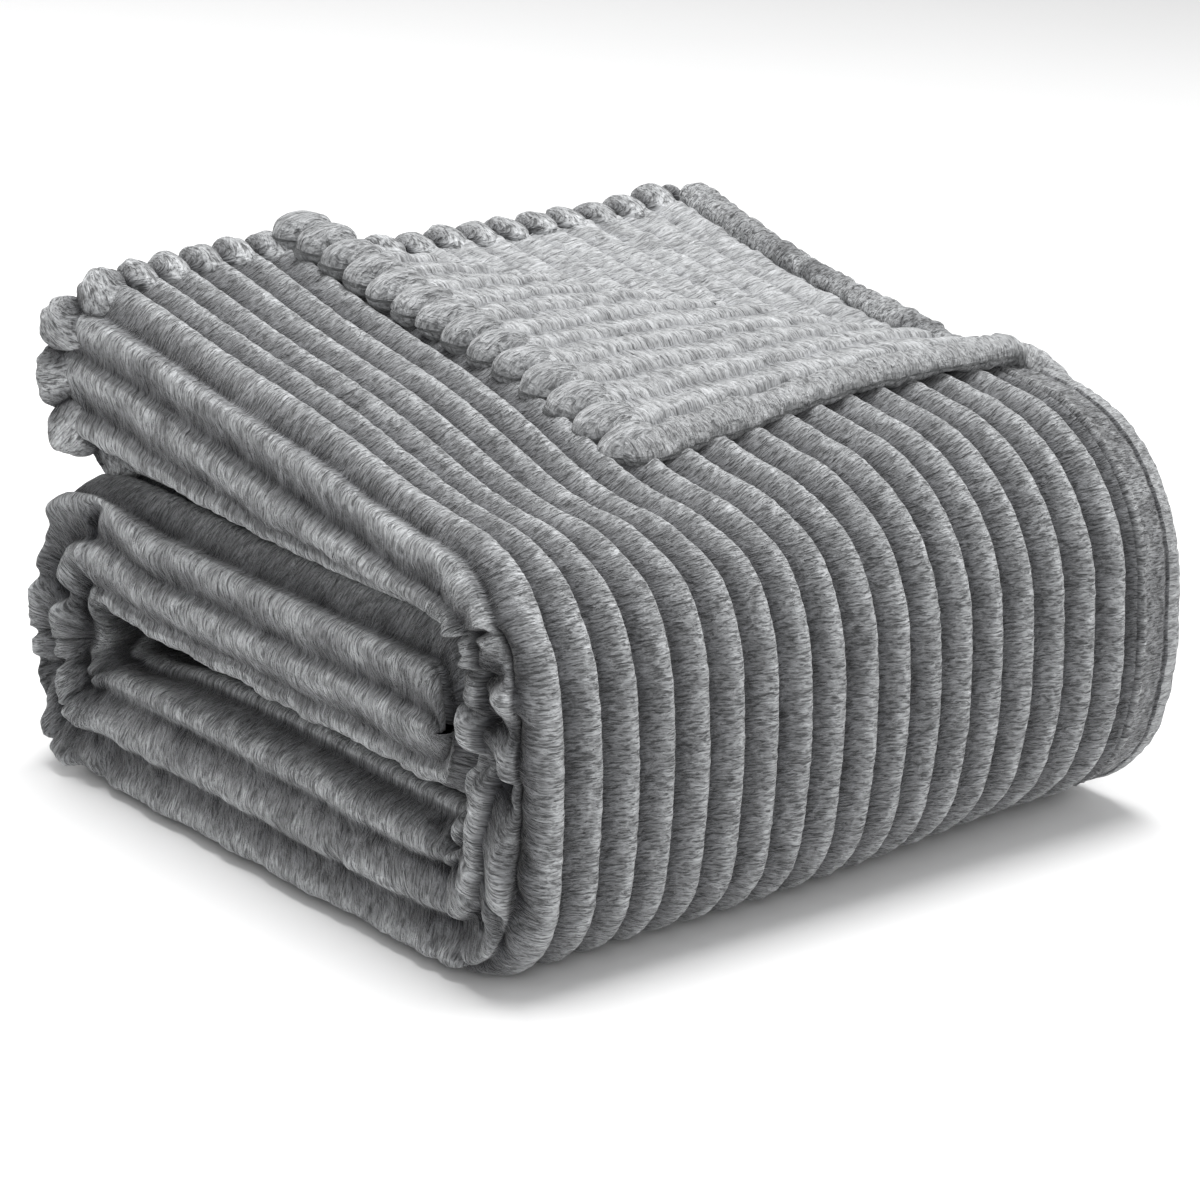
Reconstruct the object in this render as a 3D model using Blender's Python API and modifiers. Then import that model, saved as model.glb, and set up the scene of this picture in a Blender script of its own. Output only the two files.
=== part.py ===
"""Folded throw blanket: a ribbed two-sided fleece folded to a strip, rolled in three lays,
with the top lay's back corner turned over.

Frame: +Z up, the throw rests on z = 0. X runs across the ribs, Y along them. The open
hems are at +X, the folded edge at -X, and the front turn faces -Y. Sizes are in metres.
"""

import math

import bpy
from mathutils import Matrix, Vector

# Overall sizes
WIDTH = 0.325          # folded strip, across the ribs
FRONT_Y = -0.164       # outermost point of the front turn
BACK_Y = 0.164         # outermost point of the back turn
BACK_HEIGHT = 0.200    # top of the top lay at its back edge
SHOULDER_HEIGHT = 0.167  # top of the top lay where it turns down at the front

# Lays, each a packet of the strip
BOTTOM_LAY_HEIGHT = 0.060
INNER_LAY_HEIGHT = 0.065
FRONT_WALL = 0.044     # thickness of the packet where it climbs the front
BACK_TURN_DEPTH = 0.046
BACK_BULGE = 0.45      # height of the back turn's outermost line, as a share of the lower lays
CLOTH = 0.008          # one layer of the fleece
HEM = 0.012            # width of a turned and stitched hem

# Top lay and its turned corner
TOP_BACK_Y = 0.126     # end hem of the top lay
TOP_END_BULGE = 0.024  # how far the lower layers stand behind that hem
SHOULDER_Y = -0.100    # where the top starts to round over
CORNER_LEG = 0.218     # length of each edge of the corner that is turned over

# Roundings and gaps
FRONT_FOOT_RADIUS = 0.036
SHOULDER_RADIUS = 0.062
SOFT_EDGE = 0.006
GAP = 0.0004           # between faces that touch
SWING_GAP = 0.0006     # between the front turn and the lays it swings away from

# Values that follow from the ones above
INNER_LAY_BASE = BOTTOM_LAY_HEIGHT + GAP
INNER_LAY_TOP = INNER_LAY_BASE + INNER_LAY_HEIGHT
TOP_LAY_BASE = INNER_LAY_TOP + GAP
LAYS_FRONT_Y = FRONT_Y + FRONT_WALL
LAYS_BACK_Y = BACK_Y - BACK_TURN_DEPTH
LOW_X = -WIDTH / 2
HIGH_X = WIDTH / 2
CORE_HIGH_X = HIGH_X - HEM - GAP
TOP_RUN = TOP_BACK_Y - SHOULDER_Y
TOP_SLOPE = math.atan2(BACK_HEIGHT - SHOULDER_HEIGHT, TOP_RUN)
CORNER_X = HIGH_X - CORNER_LEG

FACE_GREY = (0.165, 0.170, 0.176)
REVERSE_GREY = (0.440, 0.450, 0.460)
HEM_GREY = (0.200, 0.205, 0.212)


def clear_scene():
    for thing in list(bpy.data.objects):
        bpy.data.objects.remove(thing, do_unlink=True)


def new_collection(name):
    group = bpy.data.collections.new(name)
    bpy.context.scene.collection.children.link(group)
    return group


def fleece(name, colour):
    material = bpy.data.materials.new(name)
    material.use_nodes = True
    shader = material.node_tree.nodes["Principled BSDF"]
    shader.inputs["Base Color"].default_value = (*colour, 1.0)
    shader.inputs["Roughness"].default_value = 0.95
    shader.inputs["Metallic"].default_value = 0.0
    return material


def soften(thing, radius):
    """Welds the caps of an extruded outline to its sides and rounds its edges."""
    weld = thing.modifiers.new("weld", "WELD")
    weld.merge_threshold = 0.00005
    bevel = thing.modifiers.new("soft_edge", "BEVEL")
    bevel.width = radius
    bevel.segments = 2
    bevel.limit_method = "ANGLE"
    bevel.angle_limit = math.radians(50)
    bevel.use_clamp_overlap = True


def outline_solid(group, name, points, thickness, colour, radius):
    """Extrudes a flat outline. A point is (u, v, round), and a round one is on a smooth curve."""
    curve = bpy.data.curves.new(name, "CURVE")
    curve.dimensions = "2D"
    curve.fill_mode = "BOTH"
    curve.extrude = thickness / 2
    curve.resolution_u = 5
    spline = curve.splines.new("BEZIER")
    spline.bezier_points.add(len(points) - 1)
    for knot, (u, v, is_round) in zip(spline.bezier_points, points):
        knot.co = (u, v, 0.0)
        handle = "AUTO" if is_round else "VECTOR"
        knot.handle_left_type = handle
        knot.handle_right_type = handle
    spline.use_cyclic_u = True
    curve.materials.append(fleece(name, colour))
    thing = bpy.data.objects.new(name, curve)
    group.objects.link(thing)
    soften(thing, radius)
    return thing


def arc(centre_y, centre_z, radius, start, stop, count):
    """Points on a circle in the YZ plane, angles in degrees from +Y towards +Z.

    A point at 180 degrees meets a straight wall, so its curve handles are straight.
    """
    angles = [start + (stop - start) * step / (count - 1) for step in range(count)]
    return [
        (
            centre_y + radius * math.cos(math.radians(angle)),
            centre_z + radius * math.sin(math.radians(angle)),
            angle != 180,
        )
        for angle in angles
    ]


def lay(group, name, points, low_x, high_x, colour, radius=SOFT_EDGE):
    """A stretch of the rolled strip: its YZ outline carried along X."""
    thing = outline_solid(group, name, points, high_x - low_x, colour, radius)
    thing.rotation_euler = (math.pi / 2, 0, math.pi / 2)
    thing.location = ((low_x + high_x) / 2, 0, 0)
    return thing


def joint_empty(group, name, location, rotation=(0, 0, 0)):
    empty = bpy.data.objects.new(name, None)
    empty.empty_display_size = 0.03
    empty.location = location
    empty.rotation_euler = rotation
    group.objects.link(empty)
    return empty


def attach(child, parent):
    """Parents without moving the child."""
    bpy.context.view_layer.update()
    child.parent = parent
    child.matrix_parent_inverse = parent.matrix_world.inverted()


def make_lower_lays(group):
    """The bottom run, the back turn and the inner run that it leads to."""
    lay(
        group,
        "bottom_lay",
        [
            (LAYS_FRONT_Y + SWING_GAP, 0, False),
            (LAYS_BACK_Y - GAP, 0, False),
            (LAYS_BACK_Y - GAP, BOTTOM_LAY_HEIGHT, False),
            (LAYS_FRONT_Y + SWING_GAP, BOTTOM_LAY_HEIGHT, False),
        ],
        LOW_X,
        HIGH_X,
        FACE_GREY,
    )
    lay(
        group,
        "inner_lay",
        [
            (LAYS_FRONT_Y + SWING_GAP, INNER_LAY_BASE, False),
            (LAYS_BACK_Y - GAP, INNER_LAY_BASE, False),
            (LAYS_BACK_Y - GAP, INNER_LAY_TOP, False),
            (LAYS_FRONT_Y + SWING_GAP, INNER_LAY_TOP, False),
        ],
        LOW_X,
        HIGH_X,
        FACE_GREY,
    )
    bulge_height = BACK_BULGE * INNER_LAY_TOP
    lay(
        group,
        "back_turn",
        [
            (LAYS_BACK_Y, 0, False),
            (BACK_Y - 0.5 * BACK_TURN_DEPTH, 0, False),
            (BACK_Y - 0.12 * BACK_TURN_DEPTH, 0.35 * bulge_height, True),
            (BACK_Y, bulge_height, True),
            (BACK_Y - 0.12 * BACK_TURN_DEPTH, 1.65 * bulge_height, True),
            (BACK_Y - 0.5 * BACK_TURN_DEPTH, INNER_LAY_TOP, False),
            (LAYS_BACK_Y, INNER_LAY_TOP, False),
        ],
        LOW_X,
        HIGH_X,
        FACE_GREY,
    )


def shoulder_centre():
    """Centre of the round over which the strip turns from the front wall on to the top."""
    return Vector((FRONT_Y + SHOULDER_RADIUS, SHOULDER_HEIGHT - SHOULDER_RADIUS))


def mitre_ends():
    """(inner, outer) end of the cut between the front turn and the top lay, as (y, z)."""
    inner = Vector((LAYS_FRONT_Y, TOP_LAY_BASE))
    centre = shoulder_centre()
    way = Vector((math.cos(math.radians(135)), math.sin(math.radians(135))))
    return inner, centre + way * SHOULDER_RADIUS


def make_front_turn(group):
    """The wall where the strip climbs from the bottom run to the top, and its side hem."""
    inner, outer = mitre_ends()
    centre = shoulder_centre()
    foot = FRONT_FOOT_RADIUS
    outline = [(LAYS_FRONT_Y, 0, False)]
    outline += [(LAYS_FRONT_Y, inner.y - GAP, False)]
    outline += [(outer.x, outer.y - GAP, False)]
    outline += arc(centre.x, centre.y, SHOULDER_RADIUS, 142, 180, 3)
    outline += arc(FRONT_Y + foot, foot, foot, 180, 255, 4)
    outline += [(FRONT_Y + foot, 0, False)]
    wall = lay(group, "front_turn", outline, LOW_X, CORE_HIGH_X, FACE_GREY)
    hem = lay(group, "front_side_hem", outline, HIGH_X - HEM, HIGH_X, HEM_GREY, SOFT_EDGE / 2)
    hinge = joint_empty(group, "front_turn_hinge", front_hinge())
    attach(wall, hinge)
    attach(hem, hinge)
    return hinge


def front_hinge():
    """Axis of the front turn: just inside the foot, so that the wall lands on the floor."""
    lift = 0.1 * FRONT_FOOT_RADIUS
    return Vector((0, FRONT_Y + lift, lift))


def top_hinge():
    """Axis of the top lay: on the mitre's line, just outside the shoulder's skin."""
    centre = shoulder_centre()
    reach = 1.1 * SHOULDER_RADIUS * math.sqrt(0.5)
    return Vector((0, centre.x - reach, centre.y + reach))


def on_top(along):
    """(y, z) of a point on the top's slope, `along` metres behind its end hem's line."""
    return (
        TOP_BACK_Y + along * math.cos(TOP_SLOPE),
        BACK_HEIGHT + along * math.sin(TOP_SLOPE),
    )


def below_top(along, depth):
    """(y, z) of a point `depth` under the slope."""
    y, z = on_top(along)
    return y + depth * math.sin(TOP_SLOPE), z - depth * math.cos(TOP_SLOPE)


def make_lower_layers(group, hinge):
    """The two lower layers of the top lay, with the step that its upper layers lie in."""
    inner, outer = mitre_ends()
    centre = shoulder_centre()
    step = 2 * (CLOTH + GAP)
    run = TOP_RUN / math.cos(TOP_SLOPE)
    lower_back = below_top(HEM, step)
    end_middle = (TOP_LAY_BASE + lower_back[1]) / 2
    outline = [(inner.x + SWING_GAP, inner.y, False)]
    outline += [(LAYS_BACK_Y, inner.y, False)]
    outline += [(TOP_BACK_Y + 0.7 * TOP_END_BULGE, inner.y + 0.2 * INNER_LAY_HEIGHT, True)]
    outline += [(TOP_BACK_Y + TOP_END_BULGE, end_middle, True)]
    outline += [(*lower_back, False)]
    outline += [(*below_top(-run, step), False)]
    outline += [(*on_top(-run), False)]
    outline += arc(centre.x, centre.y, SHOULDER_RADIUS, 96, 128, 3)
    outline += [(outer.x + GAP, outer.y + GAP, False)]
    layers = lay(group, "top_lower_layers", outline, LOW_X, HIGH_X, FACE_GREY, SOFT_EDGE / 2)
    attach(layers, hinge)


def plan_solid(group, name, plan, level, colour, hinge, frame):
    """A layer of cloth cut to an outline in the top's own plane, `level` above that plane."""
    points = [(x, along, False) for x, along in plan]
    thing = outline_solid(group, name, points, CLOTH, colour, CLOTH / 8)
    thing.matrix_world = frame @ Matrix.Translation((0, 0, level + CLOTH / 2))
    attach(thing, hinge)
    return thing


def make_face_layer(group, hinge, frame):
    """The face layer up to the fold line, and the hem across its free end."""
    run = TOP_RUN / math.cos(TOP_SLOPE)
    fold_gap = 2 * GAP
    face = [
        (LOW_X + SOFT_EDGE, -run + GAP),
        (HIGH_X, -run + GAP),
        (HIGH_X, -CORNER_LEG - fold_gap),
        (CORNER_X + HEM - fold_gap, -HEM),
        (LOW_X + SOFT_EDGE, -HEM),
    ]
    plan_solid(group, "top_face_layer", face, -CLOTH, FACE_GREY, hinge, frame)
    end_hem = [
        (LOW_X + SOFT_EDGE, -HEM + GAP),
        (CORNER_X + HEM - 3 * GAP, -HEM + GAP),
        (CORNER_X - fold_gap, 0),
        (LOW_X + SOFT_EDGE, 0),
    ]
    plan_solid(group, "top_end_hem", end_hem, -CLOTH, FACE_GREY, hinge, frame)


def make_second_layer(group, hinge, frame):
    """The layer under the face layer, laid bare beyond the fold line, and its two hems."""
    run = TOP_RUN / math.cos(TOP_SLOPE)
    level = -2 * CLOTH - GAP
    layer = [
        (LOW_X + SOFT_EDGE, -run + GAP),
        (CORE_HIGH_X, -run + GAP),
        (CORE_HIGH_X, 0),
        (LOW_X + SOFT_EDGE, 0),
    ]
    plan_solid(group, "second_layer", layer, level, REVERSE_GREY, hinge, frame)
    back_hem = [
        (LOW_X + SOFT_EDGE, GAP),
        (HIGH_X, GAP),
        (HIGH_X, HEM),
        (LOW_X + SOFT_EDGE, HEM),
    ]
    plan_solid(group, "second_layer_end_hem", back_hem, level, FACE_GREY, hinge, frame)
    side_hem = [
        (CORE_HIGH_X + GAP, -run + GAP),
        (HIGH_X, -run + GAP),
        (HIGH_X, 0),
        (CORE_HIGH_X + GAP, 0),
    ]
    plan_solid(group, "second_layer_side_hem", side_hem, level, FACE_GREY, hinge, frame)


def corner_frame(frame):
    """The fold line's own frame: origin where it meets the end hem, X along the fold."""
    return frame @ Matrix.Translation((CORNER_X, 0, 0)) @ Matrix.Rotation(-math.pi / 4, 4, "Z")


def make_corner(group, top, frame):
    """The turned-over corner with its end hem and side hem, on the fold line's hinge."""
    fold = joint_empty(group, "corner_fold", (0, 0, 0))
    fold.matrix_world = corner_frame(frame)
    attach(fold, top)
    lift = GAP
    near = 3 * GAP
    panel = [
        (CORNER_X + HEM, -HEM - near * 3),
        (CORNER_X + HEM, -CORNER_LEG + HEM),
        (HIGH_X - HEM - near * 3, -CORNER_LEG + HEM),
    ]
    plan_solid(group, "turned_corner", panel, lift, REVERSE_GREY, fold, frame)
    end_hem = [
        (CORNER_X, -near * 3),
        (CORNER_X, -CORNER_LEG),
        (CORNER_X + HEM - GAP, -CORNER_LEG),
        (CORNER_X + HEM - GAP, -HEM - near * 2),
    ]
    plan_solid(group, "corner_end_hem", end_hem, lift, FACE_GREY, fold, frame)
    side_hem = [
        (CORNER_X + HEM, -CORNER_LEG),
        (HIGH_X - near * 3, -CORNER_LEG),
        (HIGH_X - HEM - near * 2, -CORNER_LEG + HEM - GAP),
        (CORNER_X + HEM, -CORNER_LEG + HEM - GAP),
    ]
    plan_solid(group, "corner_side_hem", side_hem, lift, REVERSE_GREY, fold, frame)


def main():
    clear_scene()
    group = new_collection("folded_throw_blanket")
    make_lower_lays(group)
    front = make_front_turn(group)
    top = joint_empty(group, "top_lay_hinge", top_hinge())
    attach(top, front)
    frame = Matrix.Translation((0, TOP_BACK_Y, BACK_HEIGHT)) @ Matrix.Rotation(TOP_SLOPE, 4, "X")
    make_lower_layers(group, top)
    make_second_layer(group, top, frame)
    make_face_layer(group, top, frame)
    make_corner(group, top, frame)


if __name__ == "__main__":
    main()
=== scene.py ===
"""Folded ribbed throw: its cloth, hems, stitches and stage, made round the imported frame.

The throw is one strip of layers that is rolled into a block. A station of the strip is a pair of
points in the YZ plane, one on its outer skin and one on its inner skin, and a section carries the
cloth round them: outer skin, rounded fold, inner skin, and the rolled edges at the other side.
Every piece is a grid over (place along the strip, place round the section).
"""

import math

import bmesh
import bpy
import numpy as np
from bpy.props import FloatProperty, FloatVectorProperty, PointerProperty
from bpy.types import Operator, Panel, PropertyGroup
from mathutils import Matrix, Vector


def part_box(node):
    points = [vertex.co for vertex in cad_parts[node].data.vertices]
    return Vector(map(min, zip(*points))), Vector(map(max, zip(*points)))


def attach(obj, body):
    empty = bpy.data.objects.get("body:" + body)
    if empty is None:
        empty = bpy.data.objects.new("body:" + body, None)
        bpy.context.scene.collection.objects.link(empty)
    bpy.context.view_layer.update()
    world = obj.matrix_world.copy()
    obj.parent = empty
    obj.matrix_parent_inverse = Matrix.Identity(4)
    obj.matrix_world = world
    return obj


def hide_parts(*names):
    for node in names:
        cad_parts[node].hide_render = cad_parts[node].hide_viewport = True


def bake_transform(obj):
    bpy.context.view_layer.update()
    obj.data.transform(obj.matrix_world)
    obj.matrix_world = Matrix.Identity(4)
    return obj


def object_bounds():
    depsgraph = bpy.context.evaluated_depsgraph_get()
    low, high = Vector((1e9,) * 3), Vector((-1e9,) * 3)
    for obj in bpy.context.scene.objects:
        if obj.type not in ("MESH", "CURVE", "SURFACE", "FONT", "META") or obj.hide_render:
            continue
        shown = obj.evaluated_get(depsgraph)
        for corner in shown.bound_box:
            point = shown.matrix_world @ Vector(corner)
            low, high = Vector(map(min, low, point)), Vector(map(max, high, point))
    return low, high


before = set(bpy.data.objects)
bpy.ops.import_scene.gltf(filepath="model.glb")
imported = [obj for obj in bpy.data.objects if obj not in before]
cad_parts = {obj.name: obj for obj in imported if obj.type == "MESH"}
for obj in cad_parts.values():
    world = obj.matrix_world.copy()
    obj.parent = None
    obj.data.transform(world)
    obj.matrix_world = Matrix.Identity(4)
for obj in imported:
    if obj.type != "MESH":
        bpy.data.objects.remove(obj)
CAD_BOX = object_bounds()

bl_info = {
    "name": "Folded ribbed throw",
    "version": (1, 0, 0),
    "blender": (4, 5, 0),
    "location": "3D View > Sidebar > Throw",
    "description": "Makes the cloth, hems and stitches of a folded, ribbed, two-sided throw",
    "category": "Object",
}

# Sizes that follow the frame, in metres
HALF_WIDTH = CAD_BOX[1].x - 0.0045    # the pile stands inside the frame's soft solids
FRONT_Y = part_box("front_turn")[0].y
BACK_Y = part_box("back_turn")[1].y
LAYS_FRONT_Y, LAYS_BACK_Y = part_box("inner_lay")[0].y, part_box("inner_lay")[1].y
BOTTOM_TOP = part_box("bottom_lay")[1].z
INNER_BASE, INNER_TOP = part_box("inner_lay")[0].z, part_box("inner_lay")[1].z
WALL_INNER_Y = LAYS_FRONT_Y - 0.0006
TOP_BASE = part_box("top_lower_layers")[0].z
TOP_END_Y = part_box("top_end_hem")[1].y
SHOULDER_RADIUS = 0.062
FOOT_RADIUS = 0.036
SHOULDER_Y, SHOULDER_Z = FRONT_Y + SHOULDER_RADIUS, 0.105
TOP_END_Z = 0.200
TOP_SLOPE = math.radians(8.307)
LAYER = 0.0084           # one layer of cloth, with the air under it
CORNER_X = CAD_BOX[1].x - 0.218    # where the fold line meets the back edge
CORNER_LEG = HALF_WIDTH - CORNER_X  # each edge of the turned corner

# The section
ROLL = 0.005             # radius of a rolled side edge
FOLD_END = 0.405         # place round the section where every fold has ended
FLAT_END = 0.290         # place round the section where the cloth starts to be stretched
STRETCH = 0.27           # how much wider apart the ribs lie on the fold
HEM_BAND = 0.019         # width of the plain band beside the rolled edge
RIM_END = 0.0030         # where the light rolled rim ends and the band starts
ROLL_TUFT = 0.0009       # how far the pile stands out on a rolled edge

INNER_CLOTH = 0.27       # cloth counted on the inner skin
WIDE_CLOTH = 0.062       # cloth counted on the wide rolled fold

# Grid steps, in metres, and columns of a stretch
FINE = 0.00105
ALONG = 0.0013
EDGE_STEP = 0.0009       # on the bands, the rolled edges and the crease
SHARE_STEP = 1 / 200     # across the corner, the layer under it and the end panel, as a share
FLAT_STOP = 0.27         # place round a lower lay where its hidden flat skin ends
INNER_COLUMNS, HIDDEN_COLUMNS, WIDE_COLUMNS, EDGE_COLUMNS = 150, 70, 44, 16

# ---------------------------------------------------------------- numbers and noise


def ease(t):
    """0 to 1 along a smooth step: 3 t^2 - 2 t^3, held flat outside."""
    t = np.clip(t, 0.0, 1.0)
    return t * t * (3 - 2 * t)


def waves(u, v, size_u, size_v, seed):
    """Smooth noise from -1 to 1: random numbers on a lattice of cells size_u by size_v, eased between."""
    table = np.random.default_rng(seed).random((64, 64))
    a, b = np.broadcast_arrays(np.asarray(u) / size_u, np.asarray(v) / size_v)
    i, j = np.floor(a).astype(int), np.floor(b).astype(int)
    p, q = ease(a - i), ease(b - j)
    low = table[i % 64, j % 64] * (1 - p) + table[(i + 1) % 64, j % 64] * p
    high = table[i % 64, (j + 1) % 64] * (1 - p) + table[(i + 1) % 64, (j + 1) % 64] * p
    return 2 * (low * (1 - q) + high * q) - 1


def with_waves(start, u, v, *terms):
    """Start + amount x waves, added up term by term: each term is (amount, size along u, size along v, seed)."""
    for amount, size_u, size_v, seed in terms:
        start = start + amount * waves(u, v, size_u, size_v, seed)
    return start


def hump(v, middle, width):
    """A smooth hump: exp(-((v - middle) / width)^2)."""
    return np.exp(-(((v - middle) / width) ** 2))


def steps(start, end, size):
    """Evenly spaced places from start to end, about size apart, ends included."""
    return np.linspace(start, end, max(2, int(round(abs(end - start) / size)) + 1))


def rib(phase):
    """Height of a rib from 0 in its groove to 1 on its crest: sin(pi p^2.5)^0.6, so the crest leans towards +X."""
    p = np.mod(phase, 1.0)
    return np.clip(np.sin(np.pi * p**2.5), 0, 1) ** 0.6


def painted_rib_shading(phase):
    """Painted shade and highlight on a rib: painted shade at the root of its long side, lighter up to a painted
    highlight at the crest, painted shade past it.
    """
    p = np.mod(phase, 1.0)
    return (0.08 + 0.92 * ease((p + 0.02) / 0.86)) * (1 - 0.95 * ease((p - 0.93) / 0.07))


def puff(phase):
    """Height of one rounded rib end, 0 between two and 1 in the middle: sin(pi p)^0.6."""
    return np.clip(np.sin(np.pi * np.mod(phase, 1.0)), 0, 1) ** 0.6


def lengths(points):
    """The length along a row of points, from 0 at the first."""
    return np.concatenate([[0], np.cumsum(np.linalg.norm(np.diff(points, axis=0), axis=1))])


def unit(vectors):
    return vectors / np.linalg.norm(vectors, axis=-1, keepdims=True)


def sizes():
    return bpy.context.scene.throw_sizes


def rib_phase(across):
    """Which rib a place across the cloth is on, and how far over it: a whole number is a groove."""
    return (across + 0.120) / sizes().rib_pitch


# ---------------------------------------------------------------- the strip's two skins


def arc_points(y, z, radius, start, end, count):
    """Points on an arc in the YZ plane, angles in degrees from +Y towards +Z."""
    angle = np.radians(np.linspace(start, end, count))
    return np.stack([y + radius * np.cos(angle), z + radius * np.sin(angle)], 1)


def curve_points(knots, count):
    """A smooth curve through the knots: each span is a cubic Hermite with the chord of its neighbours."""
    knots = np.array(knots, float)
    slope = np.gradient(knots, axis=0)
    place = np.linspace(0, len(knots) - 1 - 1e-9, count)
    i = place.astype(int)
    t = (place - i)[:, None]
    a, b, m, n = knots[i], knots[i + 1], slope[i], slope[i + 1]
    return (2 * t**3 - 3 * t**2 + 1) * a + (t**3 - 2 * t**2 + t) * m + (3 * t**2 - 2 * t**3) * b + (t**3 - t**2) * n


def softened(points, reach):
    """The points after a running mean over reach neighbours each way, with the ends kept."""
    wide = np.pad(points, ((reach, reach), (0, 0)), mode="reflect", reflect_type="odd")
    kernel = np.ones(2 * reach + 1) / (2 * reach + 1)
    return np.stack([np.convolve(wide[:, k], kernel, mode="valid") for k in (0, 1)], 1)


def build_strip():
    """The outer and inner skin as dense point rows, the length along the outer skin, and where each run starts."""
    n = 400
    tangent = 90 + math.degrees(TOP_SLOPE)
    shoulder_end = arc_points(SHOULDER_Y, SHOULDER_Z, SHOULDER_RADIUS, tangent, tangent, 1)[0]
    end = np.array([TOP_END_Y, TOP_END_Z])
    foot_y = FRONT_Y + FOOT_RADIUS
    low_corner, high_corner = WALL_INNER_Y + 0.010, TOP_BASE - 0.010
    back = [(LAYS_BACK_Y, INNER_TOP), (0.137, 0.121), (0.151, 0.105), (0.160, 0.080),
            (BACK_Y, 0.056), (0.1615, 0.028), (0.152, 0.009), (0.137, 0.0), (LAYS_BACK_Y, 0.0)]
    lay_y = np.linspace(LAYS_FRONT_Y, LAYS_BACK_Y, n)
    inner_skin = np.stack([lay_y, INNER_BASE + 0.004 * ease((lay_y + 0.02) / 0.11)], 1)
    low_y = np.linspace(LAYS_BACK_Y, low_corner, n)
    bottom_skin = np.stack([low_y, BOTTOM_TOP - 0.012 * ease((low_y - 0.045) / 0.075)], 1)
    hollow = [tuple(inner_skin[-1]), (LAYS_BACK_Y + 0.003, 0.064), (LAYS_BACK_Y + 0.005, 0.057),
              (LAYS_BACK_Y + 0.003, 0.052), tuple(bottom_skin[0])]
    runs = [
        ("inner", np.linspace((LAYS_FRONT_Y, INNER_TOP), (LAYS_BACK_Y, INNER_TOP), n),
         inner_skin),
        ("back", curve_points(back, n), curve_points(hollow, n)),
        ("bottom", np.linspace((LAYS_BACK_Y, 0.0), (foot_y, 0.0), n), bottom_skin),
        ("foot", arc_points(foot_y, FOOT_RADIUS, FOOT_RADIUS, -90, -180, n),
         arc_points(low_corner, BOTTOM_TOP + 0.010, 0.010, -90, -180, n)),
        ("wall", np.linspace((FRONT_Y, FOOT_RADIUS), (FRONT_Y, SHOULDER_Z), n),
         np.linspace((WALL_INNER_Y, BOTTOM_TOP + 0.010), (WALL_INNER_Y, high_corner), n)),
        ("shoulder", arc_points(SHOULDER_Y, SHOULDER_Z, SHOULDER_RADIUS, 180, tangent, n),
         arc_points(low_corner, high_corner, 0.010, 180, 90, n)),
        ("top", np.linspace(shoulder_end, end, n), np.linspace((low_corner, TOP_BASE), (TOP_END_Y, TOP_BASE), n)),
    ]
    outer = np.concatenate([o for _, o, _ in runs])
    inner = np.concatenate([i for _, _, i in runs])
    length = lengths(outer)
    starts = {name: float(length[k * n]) for k, (name, _, _) in enumerate(runs)}
    starts["end"] = float(length[-1])
    even = np.linspace(0, length[-1], 2400)
    evened = lambda rows: softened(np.stack([np.interp(even, length, rows[:, k]) for k in (0, 1)], 1), 10)
    return evened(outer), evened(inner), even, starts


OUTER, INNER, PLACES, RUNS = build_strip()


def place_where(axis, value, run):
    """The place along the strip, inside a run, where the outer skin's y (axis 0) or z (axis 1) has the value."""
    names = list(RUNS)
    start, end = RUNS[run], RUNS[names[names.index(run) + 1]]
    inside = (PLACES >= start) & (PLACES <= end)
    found = np.argmin(np.abs(OUTER[inside, axis] - value))
    return float(PLACES[inside][found])


# Where the strip is cut into pieces
FOOT_START = place_where(0, -0.100, "bottom")
FOOT_STOP = place_where(1, 0.066, "wall")
SHOULDER_START = place_where(1, 0.084, "wall")
SHOULDER_STOP = place_where(0, -0.080, "top")
STRIP_END = RUNS["end"]


def skins(along):
    """(outer point, inner point) at each place along the strip, as y and z."""
    pick = lambda rows, k: np.interp(along, PLACES, rows[:, k])
    return pick(OUTER, 0), pick(OUTER, 1), pick(INNER, 0), pick(INNER, 1)


def corner_shares(along):
    """Radii of the fold's two corners as shares of the thickness: the lower lays are pressed squarer than the top."""
    low = ease((along - RUNS["back"] + 0.05) / 0.05) * ease((RUNS["wall"] - along) / 0.05)
    return 0.36 - 0.22 * low, 0.42


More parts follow.
